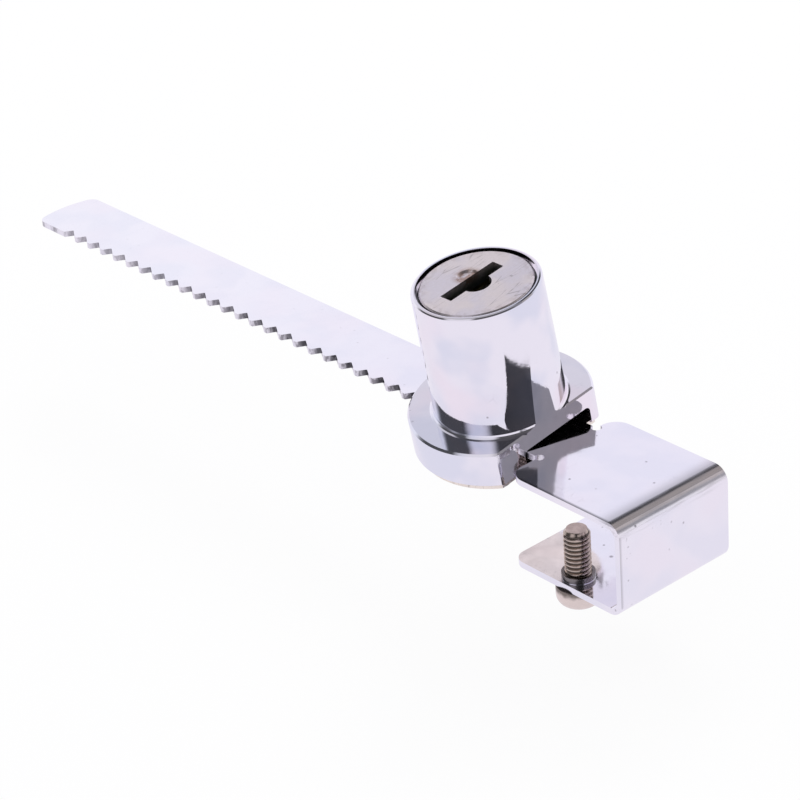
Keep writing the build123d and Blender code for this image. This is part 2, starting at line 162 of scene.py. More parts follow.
class StudioSettings(bpy.types.PropertyGroup):
    """Camera and light"""

    lens: FloatProperty(name="Lens", description="Focal length of the camera in millimetres", default=126.0)
    azimuth: FloatProperty(
        name="Azimuth", description="Side that the camera stands on",
        default=radians(-39.533), subtype="ANGLE",
    )
    elevation: FloatProperty(
        name="Elevation", description="Height of the camera over the horizon",
        default=radians(28.433), subtype="ANGLE",
    )
    roll: FloatProperty(
        name="Roll", description="Turn about the view", default=radians(-4.381), subtype="ANGLE"
    )
    distance: FloatProperty(
        name="Distance", description="Camera to its target", default=0.4515, unit="LENGTH"
    )
    target: FloatVectorProperty(
        name="Target", description="Point that the camera looks at", subtype="TRANSLATION", size=3,
        default=(-0.0730, 0.01356, -0.0096),
    )
    floor_gap: FloatProperty(
        name="Floor gap", description="Room under the clamp screws for unscrewing them",
        default=0.0097, unit="LENGTH",
    )
    backdrop: FloatVectorProperty(
        name="Backdrop", description="Paper under and behind the lock", subtype="COLOR", size=3,
        default=(1.0, 1.0, 1.0),
    )
    glow: FloatVectorProperty(
        name="Glow", description="Light of the bright side of the studio", subtype="COLOR", size=3,
        default=(0.895, 0.880, 0.985),
    )


# ---------------------------------------------------------------- shader arithmetic
class Signal:
    """An output socket that can be used in sums and products."""

    def __init__(self, shader, socket):
        self.shader = shader
        self.socket = socket

    def _math(self, operation, *operands):
        return self.shader.node("ShaderNodeMath", {"operation": operation}, dict(enumerate(operands)))

    def __add__(self, other):
        return self._math("ADD", self, other)

    def __radd__(self, other):
        return self._math("ADD", other, self)

    def __sub__(self, other):
        return self._math("SUBTRACT", self, other)

    def __rsub__(self, other):
        return self._math("SUBTRACT", other, self)

    def __mul__(self, other):
        return self._math("MULTIPLY", self, other)

    def __rmul__(self, other):
        return self._math("MULTIPLY", other, self)

    def __pow__(self, other):
        return self._math("POWER", self, other)

    def __gt__(self, other):
        return self._math("GREATER_THAN", self, other)

    def __lt__(self, other):
        return self._math("LESS_THAN", self, other)

    def __abs__(self):
        return self._math("ABSOLUTE", self)

    def fraction(self):
        """What is over the whole number below."""
        return self._math("FRACT", self)

    def larger(self, other):
        """The larger of the two."""
        return self._math("MAXIMUM", self, other)


class Shader:
    """Nodes of one material or world."""

    def __init__(self, owner):
        owner.use_nodes = True
        self.tree = owner.node_tree
        self.tree.nodes.clear()

    def node(self, kind, settings=None, inputs=None, out=0):
        """Adds a node, applies its settings, fills its sockets, and returns one output."""
        made = self.tree.nodes.new(kind)
        for key, value in (settings or {}).items():
            setattr(made, key, value)
        for key, value in (inputs or {}).items():
            socket = made.inputs[key]
            if isinstance(value, Signal):
                self.tree.links.new(value.socket, socket)
            elif socket.type == "RGBA":
                socket.default_value = (*value, 1.0)
            else:
                socket.default_value = value
        return Signal(self, made.outputs[out]) if len(made.outputs) else None

    def here(self):
        """Object coordinates."""
        return self.node("ShaderNodeTexCoord", out="Object")

    def dot(self, vector, direction):
        """Vector measured along a direction."""
        return self.node(
            "ShaderNodeVectorMath", {"operation": "DOT_PRODUCT"}, {0: vector, 1: direction}, out="Value"
        )

    def along(self, direction):
        """Object coordinates measured along a direction."""
        return self.dot(self.here(), direction)

    def axes(self):
        """X, Y and Z of the object coordinates."""
        return [self.along(direction) for direction in ((1, 0, 0), (0, 1, 0), (0, 0, 1))]

    def away(self, point):
        """Distance from a point of the object."""
        return self.node(
            "ShaderNodeVectorMath", {"operation": "DISTANCE"}, {0: self.here(), 1: point}, out="Value"
        )

    def radius(self, x, y):
        """Distance from the nearer of the two upright axes at X = x and Y = y or -y."""
        along_x, along_y, _ = self.axes()
        across = along_x - x
        aside = abs(along_y) - y
        return (across * across + aside * aside) ** 0.5

    def place(self, scale=(1, 1, 1), turn=(0, 0, 0), move=(0, 0, 0)):
        """Object coordinates, moved, turned and scaled."""
        return self.node(
            "ShaderNodeMapping",
            {"vector_type": "POINT"},
            {"Vector": self.here(), "Location": move, "Rotation": turn, "Scale": scale},
        )

    def noise(self, size, detail=2.0, roughness=0.5, **placing):
        """Noise whose blotches are about size metres wide."""
        return self.node(
            "ShaderNodeTexNoise",
            {},
            {"Vector": self.place(**placing), "Scale": 1 / size, "Detail": detail, "Roughness": roughness},
        )

    def cells(self, where, spacing, feature="F1", out="Distance"):
        """Voronoi cells about spacing metres wide."""
        return self.node(
            "ShaderNodeTexVoronoi",
            {"feature": feature},
            {"Vector": where, "Scale": 1 / spacing, "Randomness": 1.0},
            out=out,
        )

    def step(self, value, low, high):
        """0 below low, 1 above high, and smooth between them."""
        return self.node(
            "ShaderNodeMapRange",
            {"interpolation_type": "SMOOTHSTEP", "clamp": True},
            {"Value": value, "From Min": low, "From Max": high, "To Min": 0.0, "To Max": 1.0},
        )

    def mix(self, factor, first, second, blend="MIX"):
        """Colour between first and second."""
        return self.node(
            "ShaderNodeMix",
            {"data_type": "RGBA", "blend_type": blend, "clamp_factor": True},
            {0: factor, 6: first, 7: second},
            out=2,
        )

    def ramp(self, factor, stops):
        """Colours that ease from stop to stop."""
        colours = self.node("ShaderNodeValToRGB", {}, {"Fac": factor})
        ramp = colours.socket.node.color_ramp
        ramp.interpolation = "EASE"
        for mark, (place, colour) in zip(ramp.elements, (stops[0], stops[-1])):
            mark.position = place
            mark.color = (*colour, 1.0)
        for place, colour in stops[1:-1]:
            ramp.elements.new(place).color = (*colour, 1.0)
        return colours

    def ray(self, kind):
        """1 for the rays of one kind."""
        return self.node("ShaderNodeLightPath", out=f"Is {kind} Ray")

    def specks(self, spacing, size, share, seed=0.0):
        """Round specks of about size, spacing apart, kept in some of the places only."""
        where = self.place(move=(seed, seed * 0.7, seed * 0.3))
        lot = self.node("ShaderNodeSeparateColor", {}, {"Color": self.cells(where, spacing, out="Color")})
        near = 1 - self.step(self.cells(where, spacing), 0.45 * size / spacing, size / spacing)
        return near * self.step(lot, 1 - share, 1 - share + 0.02)

    def scratches(self, spacing, width, turn, length, keep, seed=0.0):
        """Fine straight scratches that run across the turned frame's first axis."""
        where = self.place(scale=(1, 1 / length, 1 / length), turn=turn, move=(seed, seed, seed))
        lines = self.cells(where, spacing, "DISTANCE_TO_EDGE")
        patch = self.noise(spacing * 4, move=(seed + 0.3, 0, 0))
        return (1 - self.step(lines, 0.0, width / spacing)) * self.step(patch, keep, keep + 0.12)

    def bump(self, height, distance, strength):
        """Normal of a height pattern, in metres of relief."""
        return self.node(
            "ShaderNodeBump", {}, {"Height": height, "Distance": distance, "Strength": strength}
        )

    def metal(self, colour, roughness, normal):
        """Metal surface, joined to the output."""
        skin = self.node(
            "ShaderNodeBsdfPrincipled",
            {},
            {"Base Color": colour, "Roughness": roughness, "Metallic": 1.0, "Normal": normal},
        )
        self.node("ShaderNodeOutputMaterial", {}, {"Surface": skin})


def tone(colour, *shares):
    """Colour with each channel times its own share."""
    return tuple(part * share for part, share in zip(colour, shares))


def shade(colour, share):
    """Colour times share."""
    return tone(colour, share, share, share)


def new_material(name):
    """Empty material and its shader."""
    material = bpy.data.materials.new(name)
    return material, Shader(material)


def dress(material, *nodes):
    """Puts a material on CAD nodes, or on pieces."""
    for node in nodes:
        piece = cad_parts[node] if isinstance(node, str) else node
        piece.data.materials.clear()
        piece.data.materials.append(material)
        for face in piece.data.polygons:
            face.material_index = 0


def plug_face():
    """Height of the plug's face along its axis, the face's middle, and the axis."""
    axis = Vector((0, -sin(BODY_LEAN), cos(BODY_LEAN)))
    points = [v.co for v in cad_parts["plug"].data.vertices]
    face = max(point.dot(axis) for point in points)
    top = [point for point in points if point.dot(axis) > face - 0.0001]
    middle = Vector([(min(p[i] for p in top) + max(p[i] for p in top)) / 2 for i in range(3)])
    return face, middle, axis


# ---------------------------------------------------------------- metals
def chrome_plate(s, colour, gloss, seed, pits, clouds, wear=1.0, peel=0.0):
    """Tint, roughness and normal of chrome: pink and blue clouds, specks in loose rows, hair and pits.

    pits is the share of places that hold a speck, clouds the strength of the clouds, wear that of all
    marks, and peel the depth of the orange peel against the swell.
    """
    cloud = s.noise(0.008, detail=2, move=(seed, 0, 0))
    warm = s.noise(0.010, detail=1, move=(0, seed, 0))
    blue = tone(colour, 0.87, 0.905, 0.95)
    pink = tone(colour, 1.02, 0.96, 0.965)
    tint = s.mix((1 - s.step(cloud, 0.38, 0.6)) * clouds, colour, blue)
    tint = s.mix(s.step(warm, 0.48, 0.68) * (0.85 * clouds), tint, pink)
    rows = s.step(s.noise(0.0022, scale=(1, 1, 0.12), move=(seed, seed, 0)), 0.54, 0.62)
    dots = s.specks(0.0012, 0.00026, pits, seed) * rows
    pit = s.specks(0.0050, 0.00048, pits * 0.6, seed + 1.7)
    hair = s.scratches(0.0012, 0.00002, (0.2, 0.4, 0.9 + seed), length=3, keep=0.63, seed=seed)
    marks = (dots * 0.6 + pit * 0.7 + hair * 0.25) * wear
    tint = s.mix(marks, tint, (0.30, 0.285, 0.31))
    haze = s.step(s.noise(0.004, detail=3, move=(seed, 1, 0)), 0.35, 0.75)
    rough = haze * 0.04 + (gloss + marks * 0.35)
    swell = s.noise(0.0035, detail=1, move=(seed, 2, 0)) + s.noise(0.0009, detail=2) * 0.05
    if peel:
        swell = swell + s.noise(0.0005, detail=1) * peel
    return tint, rough, s.bump(swell - marks * 0.06, 0.00005, 0.55)


def sheared_teeth_and_notch_shade(s, tint, rough, first, end, top):
    """Dull sheared edges between the bar's faces, as far as end along X, with painted shade in each notch,
    broken by drag marks and stronger towards the clip end, and a darker painted shade at the bottom of each
    notch.
    """
    x, _, z = s.axes()
    edge = (z > top - SHEET + SKIN) * (z < top - SKIN) * (x < end)
    near = s.step(x, -0.15, -0.05) * 0.6 + 0.4
    drag = s.noise(0.0005, detail=3, scale=(1, 1, 0.4))
    notches = (x - (first + 0.5 * TOOTH_PITCH)) * (1 / TOOTH_PITCH)
    off = abs(notches.fraction() - 0.5)
    # painted shade in the notches, broken by drag marks, over a faint even darkening along the whole edge
    dull_and_notch_shade = (1 - s.step(off, 0.24, 0.42)) * (0.15 + s.step(drag, 0.42, 0.58) * 0.65) + 0.04
    tint = s.mix(edge * near * dull_and_notch_shade, tint, (0.20, 0.19, 0.21))
    # darker painted shade at the bottom of each notch
    root_shade = 1 - s.step(off, 0.06, 0.22)
    tint = s.mix(edge * near * root_shade * 0.85, tint, (0.02, 0.02, 0.025))
    return tint, rough + edge * (0.12 + drag * 0.2)


def collar_shade(s, tint, rough, axis, plate):
    """Painted shade on the tapped collars round the screws' axes, given the height of the plate that they
    stand on.
    """
    z = s.axes()[2]
    foot, rim = COLLAR_SPAN
    # painted shade darkens the collars, whose chrome is also made rougher
    ring = (s.radius(*axis) < COLLAR_R) * (z > plate + foot) * (z < plate + rim)
    return s.mix(ring * 0.85, tint, (0.12, 0.10, 0.09)), rough + ring * 0.18


def painted_edge_shade(s, tint, front, end, wall, top):
    """Painted shade along rounded edges: a dark line on the upper plate's front edge from end along X, and
    a soft one down the wall's corner.
    """
    x, y, z = s.axes()
    # painted shade along the front edge of the upper plate
    brink_shade = (1 - s.step(y, front, front + 0.0006)) * (z > top - 0.00005)
    tint = s.mix(brink_shade * s.step(x, end, end + 0.002) * 0.75, tint, (0.05, 0.05, 0.055))
    # painted shade down the wall's corner
    corner = (1 - s.step(y, front, front + 0.0005)) * (x > wall - 0.0001)
    return s.mix(corner * 0.45, tint, (0.32, 0.31, 0.33))


def brushed_fold_and_shade(s, tint, rough, colour, wall, top):
    """Fold between the upper plate and the wall: brushed to a matt finish, with soft painted shade on the
    plate before it.
    """
    x, _, z = s.axes()
    back, down = wall - FOLD_BACK, top - FOLD_DROP
    bent = s.step(x, back - 0.0012, back) * s.step(z, down, down + 0.001)
    brushed = s.noise(0.0006, detail=2, scale=(1.5, 0.12, 1.5))
    tint = s.mix(bent * s.step(brushed, 0.45, 0.7) * 0.3, tint, shade(colour, 0.55))
    # painted shade on the plate where it starts to curve into the fold
    start = s.step(x, back - 0.0036, back - 0.0002) * (z > top - 0.0005)
    tint = s.mix(start * start * 0.42, tint, (0.16, 0.155, 0.165))
    return tint, rough + bent * (0.07 + brushed * 0.12)


def bar_chrome(name, colour, gloss, box, screws):
    """Chrome of the bar and its clip, given the bar's box and X and |Y| of the screws' axes."""
    material, s = new_material(name)
    low, high = box
    end = high.x - CLIP_REACH
    wear = s.step(s.axes()[0], -0.08, -0.02) * 0.8 + 0.2
    tint, rough, normal = chrome_plate(s, colour, gloss, seed=0.0, pits=0.42, clouds=0.35, wear=wear)
    tint, rough = sheared_teeth_and_notch_shade(s, tint, rough, low.x + TOOTH_START, end, high.z)
    tint, rough = collar_shade(s, tint, rough, screws, low.z + SHEET)
    tint = painted_edge_shade(s, tint, low.y, end, high.x, high.z)
    tint, rough = brushed_fold_and_shade(s, tint, rough, colour, high.x, high.z)
    s.metal(tint, rough, normal)
    return material


def body_chrome(name, colour, gloss, face, middle, axis):
    """Chrome of the lock body, with painted shade in the gap round the plug's face."""
    material, s = new_material(name)
    tint, rough, normal = chrome_plate(s, colour, gloss, seed=3.1, pits=0.12, clouds=1.0, peel=0.09)
    # painted shade inside the gap round the plug's face
    gap = (s.away(middle) < BORE_R) * (s.along(axis) < face - 0.0007)
    s.metal(s.mix(gap * 0.95, tint, GAP_DARK), rough, normal)
    return material


def satin_nickel(name, colour, face, middle, axis):
    """Sanded nickel with fine grain, clouds and rub marks, painted shade down the keyway and on the plug's
    side in the gap, brown where keys rest.

    face is the height of the plug's face along its axis, and middle is the face's middle.
    """
    material, s = new_material(name)
    dimple = middle + Vector((DIMPLE[0], DIMPLE[1] * axis.z, DIMPLE[1] * -axis.y))
    height, radius = s.along(axis), s.away(middle)
    cool = tone(colour, 0.95, 0.98, 1.07)
    tint = s.mix(s.step(s.noise(0.005, detail=2), 0.36, 0.62), cool, shade(colour, 1.04))
    grain = s.noise(0.00011, detail=2, scale=(1, 0.2, 1), turn=(0, 0, 0.5))
    tint = s.mix(s.step(grain, 0.3, 0.75) * 0.35, tint, shade(colour, 0.84))
    marks = s.scratches(0.0011, 0.00003, (0.1, 0.2, 0.6), length=9, keep=0.45)
    marks = marks * 0.6 + s.specks(0.0015, 0.0001, 0.25) * 0.6
    tint = s.mix(marks, tint, shade(colour, 0.45))
    worn = (1 - s.step(s.away(dimple), 0.0010, 0.0027)) * s.step(s.noise(0.0009, detail=3), 0.3, 0.55)
    tint = s.mix(worn * 0.75, tint, (0.36, 0.20, 0.12))
    # painted shade down the keyway
    keyway_shade = 1 - s.step(height, face - 0.0016, face - 0.0003)
    tint = s.mix(keyway_shade * 0.86, tint, (0.13, 0.15, 0.14))
    rubbed = s.step(radius, FACE_R - 0.00105, FACE_R + 0.00005) * s.step(s.noise(0.0011), 0.42, 0.62)
    tint = s.mix(rubbed * 0.2, tint, (0.30, 0.22, 0.18))
    # painted shade on the plug's side inside the gap round the face
    side = (radius > FACE_R - 0.00015) * (height < face - 0.00025)
    tint = s.mix(side * 0.95, tint, GAP_DARK)
    rough = grain * 0.12 + (0.30 + marks * 0.2)
    s.metal(tint, rough, s.bump(grain + s.noise(0.0012) * 1.5, 0.000008, 0.9))
    return material


def turned_skin(s, colour):
    """Tint, roughness and normal of a turned screw: clouds, turning marks and specks."""
    cloud = s.noise(0.0012, detail=3)
    turning = s.noise(0.00025, detail=2, scale=(0.15, 0.15, 1.6))
    marks = s.specks(0.0006, 0.00008, 0.3)
    tint = s.mix(s.step(cloud, 0.35, 0.7), shade(colour, 0.8), colour)
    tint = s.mix(marks * 0.6 + s.step(turning, 0.6, 0.8) * 0.3, tint, shade(colour, 0.35))
    return tint, turning * 0.15 + (0.15 + marks * 0.25), s.bump(turning, 0.00001, 0.6)


def turned_metal(name, colour):
    """Turned screws without a thread."""
    material, s = new_material(name)
    s.metal(*turned_skin(s, colour))
    return material


def threaded_nickel(name, colour, sizes, box):
    """Warm nickel of the clamp screws: painted shade in the thread's roots, a painted highlight that pales
    the head, and a painted shadow of the lower plate along the top of the head.

    box is that of one screw. The other one stands at the opposite Y.
    """
    material, s = new_material(name)
    low, high = box
    crest_r = sizes.shank / 2
    seat = low.z + sizes.head_height
    z = s.axes()[2]
    tint, rough, normal = turned_skin(s, colour)
    radius = s.radius((low.x + high.x) / 2, abs(low.y + high.y) / 2)
    # painted shade in the thread's roots
    root_shade = 1 - s.step(radius, crest_r - sizes.depth + 0.00002, crest_r - 0.00006)
    tint = s.mix(root_shade * (z < high.z - sizes.point), tint, shade(colour, 0.18))
    # painted highlight: the head is paler than the shank
    head = z < seat + 0.00015
    tint = s.mix(head * 0.7, tint, (0.90, 0.80, 0.75))
    # painted shadow of the lower plate along the top of the head
    under = head * s.step(z + s.noise(0.0012, detail=3) * 0.0012, seat - 0.00055, seat + 0.00025)
    s.metal(s.mix(under * 0.85, tint, shade(colour, 0.2)), rough, normal)
    return material


def plated_zinc(name, colour):
    """Grey zinc plate with soft spangle and rub marks."""
    material, s = new_material(name)
    cloud = s.noise(0.0025, detail=3)
    tint = s.mix(s.step(cloud, 0.3, 0.7), shade(colour, 0.85), colour)
    rub = s.scratches(0.0014, 0.00004, (0.3, 0.1, 1.2), length=10, keep=0.4)
    tint = s.mix(rub * 0.6, tint, shade(colour, 0.5))
    rough = cloud * 0.12 + (0.14 + rub * 0.15)
    s.metal(tint, rough, s.bump(cloud, 0.00003, 0.5))
    return material


def stamped_brass(name, colour):
    """Brass wafers with grease-dark clouds and shear marks across the edges."""
    material, s = new_material(name)
    cloud = s.noise(0.0018, detail=3)
    tint = s.mix(s.step(cloud, 0.3, 0.65), shade(colour, 0.55), colour)
    shear = s.noise(0.0003, detail=1, scale=(1, 1, 0.1))
    rough = shear * 0.15 + 0.28
    s.metal(tint, rough, s.bump(shear, 0.00001, 0.6))
    return material


def plain_steel(name, colour):
    """Sintered and wire steel, slightly oiled."""
    material, s = new_material(name)
    cloud = s.noise(0.0009, detail=4, roughness=0.65)
    tint = s.mix(s.step(cloud, 0.35, 0.7), shade(colour, 0.7), colour)
    rough = cloud * 0.3 + 0.2
    s.metal(tint, rough, s.bump(cloud, 0.00002, 0.5))
    return material


class LOCK_OT_finish_chrome(bpy.types.Operator):
    """Plates the bar with its clip and the lock body in bright chrome"""

    bl_idname = "ratchet_lock.finish_chrome"
    bl_label = "Finish Chrome"

    def execute(self, context):
        looks = context.scene.lock_finishes
        colour, gloss = tuple(looks.chrome), looks.chrome_gloss
        low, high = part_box("clamp_screw_back")
        screws = ((low.x + high.x) / 2, abs(low.y + high.y) / 2)
        bar = bar_chrome("bar_chrome", colour, gloss * BAR_ROUGHER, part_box("ratchet_bar"), screws)
        dress(bar, "ratchet_bar")
        dress(body_chrome("body_chrome", colour, gloss, *plug_face()), "lock_housing")
        return {"FINISHED"}


class LOCK_OT_finish_plug(bpy.types.Operator):
    """Gives the plug its sanded nickel face and the wafers their brass"""

    bl_idname = "ratchet_lock.finish_plug"
    bl_label = "Finish Plug and Wafers"

    def execute(self, context):
        looks = context.scene.lock_finishes
        dress(satin_nickel("plug_nickel", tuple(looks.nickel), *plug_face()), "plug")
        wafers = [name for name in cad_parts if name.startswith("wafer_")]
        dress(stamped_brass("wafer_brass", tuple(looks.brass)), *wafers)
        return {"FINISHED"}


class LOCK_OT_finish_works(bpy.types.Operator):
    """Finishes the hidden works: keeper plate and screws, pawl, springs and retaining ring"""

    bl_idname = "ratchet_lock.finish_works"
    bl_label = "Finish Works"

    def execute(self, context):
        looks = context.scene.lock_finishes
        zinc, steel = tuple(looks.zinc), tuple(looks.steel)
        dress(plated_zinc("keeper_zinc", zinc), "keeper_plate")
        dress(turned_metal("keeper_screw_steel", shade(zinc, 0.9)), "keeper_screws")
        dress(plain_steel("pawl_steel", steel), "pawl", "retaining_ring")
        dress(plain_steel("spring_steel", shade(steel, 1.3)), "pawl_spring_left", "pawl_spring_right")
        return {"FINISHED"}


# ---------------------------------------------------------------- modelling by hand
NEAR = 1e-6  # counts as the same height


def deselect():
    """Leaves object mode with nothing selected."""
    if bpy.context.mode != "OBJECT":
        bpy.ops.object.mode_set(mode="OBJECT")
    bpy.ops.object.select_all(action="DESELECT")


def only(piece):
    """Makes one piece selected and active."""
    deselect()
    piece.select_set(True)
    bpy.context.view_layer.objects.active = piece


def settle(piece):
    """Puts a piece's place into its mesh."""
    only(piece)
    bpy.ops.object.transform_apply(location=True, rotation=True, scale=True)


def edit_all(piece):
    """Goes into edit mode with the whole piece selected."""
    only(piece)
    bpy.ops.object.mode_set(mode="EDIT")
    bpy.ops.mesh.select_all(action="SELECT")


def start_pick(kind):
    """Sets the kind of selection and clears it, and ends in object mode."""
    bpy.ops.object.mode_set(mode="EDIT")
    bpy.ops.mesh.select_mode(type=kind)
    bpy.ops.mesh.select_all(action="DESELECT")
    bpy.ops.object.mode_set(mode="OBJECT")


def pick_faces(piece, test):
    """Selects the faces that pass a test, in edit mode."""
    start_pick("FACE")
    for face in piece.data.polygons:
        face.select = test(face)
    bpy.ops.object.mode_set(mode="EDIT")


def pick_edges(piece, test):
    """Selects the edges whose two ends pass a test, in edit mode."""
    start_pick("EDGE")
    points = piece.data.vertices
    for edge in piece.data.edges:
        a, b = (points[i].co for i in edge.vertices)
        edge.select = test(a) and test(b)
    bpy.ops.object.mode_set(mode="EDIT")


def recess_tool(sizes, turned):
    """One arm of the cross recess: a block that narrows upwards, into the head."""
    overshoot, narrowing = 1.02, 0.6
    deselect()
    bpy.ops.mesh.primitive_cube_add(size=1, location=(0, 0, sizes.recess_depth / 2))
    arm = bpy.context.object
    span = (sizes.cross_width, sizes.cross_span) if turned else (sizes.cross_span, sizes.cross_width)
    arm.scale = (*span, overshoot * sizes.recess_depth)
    settle(arm)
    top = max(v.co.z for v in arm.data.vertices)
    pick_faces(arm, lambda face: face.center.z > top - NEAR)
    bpy.ops.transform.resize(value=(narrowing, narrowing, 1.0))
    bpy.ops.object.mode_set(mode="OBJECT")
    return arm


def thread_ridge(sizes, root_r, low, high):
    """Helical ridge from low to high, whose crest falls off over the point of the screw."""
    crest_r = sizes.shank / 2
    crest, foot = 0.13 * sizes.pitch, 0.46 * sizes.pitch
    sunk = 0.00008
    deselect()
    bpy.ops.mesh.primitive_plane_add(size=1, rotation=(pi / 2, 0, 0))
    ridge = bpy.context.object
    settle(ridge)
    for point in ridge.data.vertices:
        outside = point.co.x > 0
        point.co.x = crest_r if outside else root_r - sunk
        half = crest if outside else foot
        point.co.z = low + (half if point.co.z > 0 else -half)
        point.co.y = 0
    edit_all(ridge)
    bpy.ops.mesh.delete(type="ONLY_FACE")
    bpy.ops.object.mode_set(mode="OBJECT")
    turns = (high - low) / sizes.pitch
    twist = ridge.modifiers.new("Twist", "SCREW")
    twist.axis = "Z"
    twist.angle = 2 * pi * turns
    twist.screw_offset = high - low
    twist.steps = round(sizes.segments * turns)
    twist.render_steps = twist.steps
    bpy.ops.object.modifier_apply(modifier=twist.name)
    edit_all(ridge)
    bpy.ops.mesh.fill_holes(sides=4)
    bpy.ops.mesh.normals_make_consistent(inside=False)
    bpy.ops.object.mode_set(mode="OBJECT")
    start = high + 0.5 * sizes.pitch - 1.6 * sizes.point
    fall = 0.6
    for point in ridge.data.vertices:
        flat = Vector((point.co.x, point.co.y, 0))
        most = crest_r - max(0.0, point.co.z - start) * fall
        if flat.length > most:
            flat *= most / flat.length
            point.co.x, point.co.y = flat.x, flat.y
    return ridge


def turned_screw(name, box, sizes):
    """Pan-head screw that points up: turned from one rod, with a cross recess and a thread."""
    low, high = box
    middle = (low + high) / 2
    head_r = (high.x - low.x) / 2
    root_r = sizes.shank / 2 - sizes.depth
    length = high.z - low.z
    seat_bevel, point_taper = 0.00012, 0.9
    thread_start = sizes.head_height + 0.4 * sizes.pitch
    thread_end = length - 0.5 * sizes.pitch
    deselect()
    bpy.ops.mesh.primitive_cylinder_add(
        vertices=2 * sizes.segments,
        radius=head_r,
        depth=sizes.head_height,
        location=(0, 0, sizes.head_height / 2),
    )
    screw = bpy.context.object
    screw.name = name
    settle(screw)
    pick_edges(screw, lambda p: p.z < NEAR)
    bpy.ops.mesh.bevel(offset=sizes.head_round, segments=6, profile=0.5, affect="EDGES")
    pick_edges(screw, lambda p: p.z > sizes.head_height - NEAR)
    bpy.ops.mesh.bevel(offset=seat_bevel, segments=2, affect="EDGES")
    pick_faces(screw, lambda face: face.center.z > sizes.head_height - NEAR and face.normal.z > 0.99)
    seats = [face for face in screw.data.polygons if face.select]
    top_r = max(screw.data.vertices[i].co.xy.length for face in seats for i in face.vertices)
    bpy.ops.mesh.inset(thickness=(top_r - root_r))
    bpy.ops.mesh.extrude_region_move(
        TRANSFORM_OT_translate={"value": (0, 0, length - sizes.head_height - sizes.point)}
    )
    bpy.ops.mesh.extrude_region_move(TRANSFORM_OT_translate={"value": (0, 0, sizes.point)})
    bpy.ops.transform.resize(value=(point_taper, point_taper, 1.0))
    bpy.ops.object.mode_set(mode="OBJECT")
    for turned in (False, True):
        arm = recess_tool(sizes, turned)
        only(screw)
        cut = screw.modifiers.new("Recess", "BOOLEAN")
        cut.operation = "DIFFERENCE"
        cut.object = arm
        bpy.ops.object.modifier_apply(modifier=cut.name)
        bpy.data.objects.remove(arm, do_unlink=True)
    ridge = thread_ridge(sizes, root_r, thread_start, thread_end)
    only(screw)
    ridge.select_set(True)
    bpy.ops.object.join()
    screw.location = (middle.x, middle.y, low.z)
    settle(screw)
    bpy.ops.object.shade_smooth_by_angle(angle=radians(32))
    return screw


class LOCK_OT_turn_screws(bpy.types.Operator):
    """Turns the two threaded clamp screws of the clip"""

    bl_idname = "ratchet_lock.turn_screws"
    bl_label = "Turn Clamp Screws"

    def execute(self, context):
        sizes = context.scene.lock_screws
        colour = tuple(context.scene.lock_finishes.screw)
        finish = threaded_nickel("screw_nickel", colour, sizes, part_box("clamp_screw_back"))
        for side in ("front", "back"):
            node = f"clamp_screw_{side}"
            screw = turned_screw(f"{side}_screw_threaded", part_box(node), sizes)
            dress(finish, screw)
            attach(screw, f"{side}_screw")
            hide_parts(node)
        return {"FINISHED"}


# ---------------------------------------------------------------- studio
DARK_SIDE = radians(-45)  # azimuth of the darkest part of the surroundings
SKY_PATCHES = (  # azimuth, elevation and half width in degrees, and colour
    (-137, 34, 34, (0.08, 0.08, 0.085)),
    (-86, 36, 24, (0.78, 0.76, 0.82)),
    (154, 21, 17, (0.965, 0.965, 1.03)),
    (122, 50, 17, (0.05, 0.05, 0.055)),
    (80, 56, 20, (0.50, 0.45, 0.43)),
    (52, 42, 12, (0.46, 0.42, 0.41)),
    (32, 9, 13, (0.95, 0.93, 0.98)),
)


def toward(azimuth, elevation):
    """Unit vector towards an azimuth and an elevation in radians."""
    return Vector((cos(elevation) * cos(azimuth), cos(elevation) * sin(azimuth), sin(elevation)))


def studio_world(glow):
    """Soft surroundings: bright behind the lock, dim overhead, dark on the camera's side, with patches."""
    world = bpy.data.worlds.new("studio")
    bpy.context.scene.world = world
    s = Shader(world)
    way = s.node("ShaderNodeTexCoord", out="Generated")
    facing = s.dot(way, toward(DARK_SIDE, 0))
    around = s.ramp(
        0.5 - facing * 0.5,
        [
            (0.0, (0.05, 0.05, 0.055)),
            (0.30, (0.06, 0.06, 0.068)),
            (0.46, (0.27, 0.265, 0.285)),
            (0.70, (0.93, 0.92, 0.975)),
            (1.0, glow),
        ],
    )
    height = s.node("ShaderNodeSeparateXYZ", {}, {"Vector": way}, out="Z")
    dome = s.ramp(
        height,
        [
            (0.0, (1.0, 1.0, 1.0)),
            (0.52, (1.0, 1.0, 1.0)),
            (0.62, (0.80, 0.80, 0.81)),
            (0.80, (0.62, 0.60, 0.60)),
            (1.0, (0.40, 0.40, 0.41)),
        ],
    )
    band = s.step(height, 0.28, 0.38) * (1 - s.step(height, 0.66, 0.76))
    pale = s.mix(s.step(facing, 0.1, 0.4), (0.50, 0.49, 0.52), (0.15, 0.15, 0.16))
    around = s.mix(1 - band, around, pale, "LIGHTEN")
    sky = s.mix(1.0, around, dome, "MULTIPLY")
    for azimuth, elevation, spread, colour in SKY_PATCHES:
        near = s.dot(way, toward(radians(azimuth), radians(elevation)))
        sky = s.mix(s.step(near, cos(radians(spread)), cos(radians(0.5 * spread))), sky, colour)
    paper = s.mix(s.step(height, -0.03, 0.03), (0.97, 0.96, 1.0), sky)
    lit = s.mix(s.ray("Glossy"), (0.93, 0.92, 0.96), paper)
    shown = s.mix(s.ray("Camera"), lit, (1.0, 1.0, 1.0))
    light = s.node("ShaderNodeBackground", {}, {"Color": shown, "Strength": 1.0})
    s.node("ShaderNodeOutputWorld", {}, {"Surface": light})


